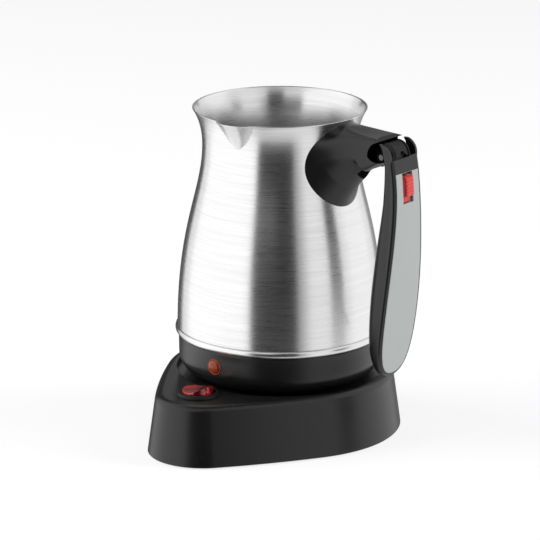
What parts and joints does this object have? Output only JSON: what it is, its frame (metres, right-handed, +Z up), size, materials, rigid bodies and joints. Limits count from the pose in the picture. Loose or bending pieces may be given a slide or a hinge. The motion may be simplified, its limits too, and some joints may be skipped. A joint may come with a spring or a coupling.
{
  "type": "electric turkish coffee maker",
  "caption": "Brushed-steel coffee pot with a spout and a folding latched handle, standing on an egg-shaped black power base with a round rocker switch.",
  "frame": {"origin": "on the table plane under the rubber feet, on the pot's axis", "axes": "+Z up along the pot's axis, +X towards the handle, +Y towards the cord outlet, so the switch is at -Y"},
  "size_m": [0.1534, 0.1589, 0.177],
  "materials": {
    "charcoal_plastic": "satin, fine grain",
    "black_plastic": "satin",
    "brushed_steel": "brushed round the pot",
    "bright_steel": "plated fastener",
    "aluminium": "machined",
    "brass": "tinned contact",
    "rubber": "matte",
    "silicone": "matte",
    "grey_plate": "satin grey",
    "red_translucent": "translucent",
    "red_button": "satin",
    "amber_lens": "translucent",
    "nylon": "self-lubricating"
  },
  "bodies": {
    "base": {"base_housing": "charcoal_plastic", "base_cover": "black_plastic", "rubber_feet": "rubber", "base_screws": "bright_steel", "switch_body": "black_plastic", "switch_terminals": "brass", "coupler_base": "black_plastic", "coupler_base_contacts": "brass", "coupler_base_screws": "bright_steel", "cord_gland": "rubber", "cord_clamp": "black_plastic", "cord_clamp_screws": "bright_steel"},
    "rocker": {"rocker_button": "red_translucent"},
    "turn_ring": {"coupler_turn_ring": "nylon"},
    "pot": {"vessel": "brushed_steel", "heating_plate": "aluminium", "heating_element": "bright_steel", "element_terminals": "brass", "skirt": "charcoal_plastic", "seal_ring": "silicone", "pot_cover": "black_plastic", "pot_cover_screws": "bright_steel", "coupler_pot": "black_plastic", "coupler_pot_contacts": "brass", "thermostat": "bright_steel", "lamp_lens": "amber_lens", "lamp_body": "bright_steel", "bracket_plate": "bright_steel", "handle_bracket": "charcoal_plastic", "bracket_screws": "bright_steel", "hinge_knuckle": "charcoal_plastic", "knuckle_screw": "bright_steel", "hinge_pin": "bright_steel"},
    "handle": {"handle_back": "charcoal_plastic", "handle_front": "charcoal_plastic", "handle_plate": "grey_plate", "handle_screws": "bright_steel", "latch_spring": "bright_steel"},
    "latch": {"latch_slider": "black_plastic", "latch_button": "red_button"}
  },
  "joints": [
    {"name": "rocker_tilt", "type": "hinge", "parent": "base", "child": "rocker", "pos_m": [0, -0.0676, 0.031], "axis": [0, 1, 0], "range_deg": [0, 20]},
    {"name": "pot_swivel", "type": "hinge", "parent": "base", "child": "turn_ring", "pos_m": [0, 0, 0.03], "axis": [0, 0, 1], "continuous": true},
    {"name": "pot_lift", "type": "slide", "parent": "turn_ring", "child": "pot", "axis": [0, 0, 1], "range_m": [0, 0.06]},
    {"name": "handle_fold", "type": "hinge", "parent": "pot", "child": "handle", "pos_m": [0.0756, 0, 0.1627], "axis": [0, -1, 0], "range_deg": [0, 90]},
    {"name": "latch_slide", "type": "slide", "parent": "handle", "child": "latch", "axis": [0, 0, -1], "range_m": [0, 0.0032], "stiffness_N_per_m": 300, "springref_m": -0.003, "deforming": ["latch_spring"]}
  ]
}
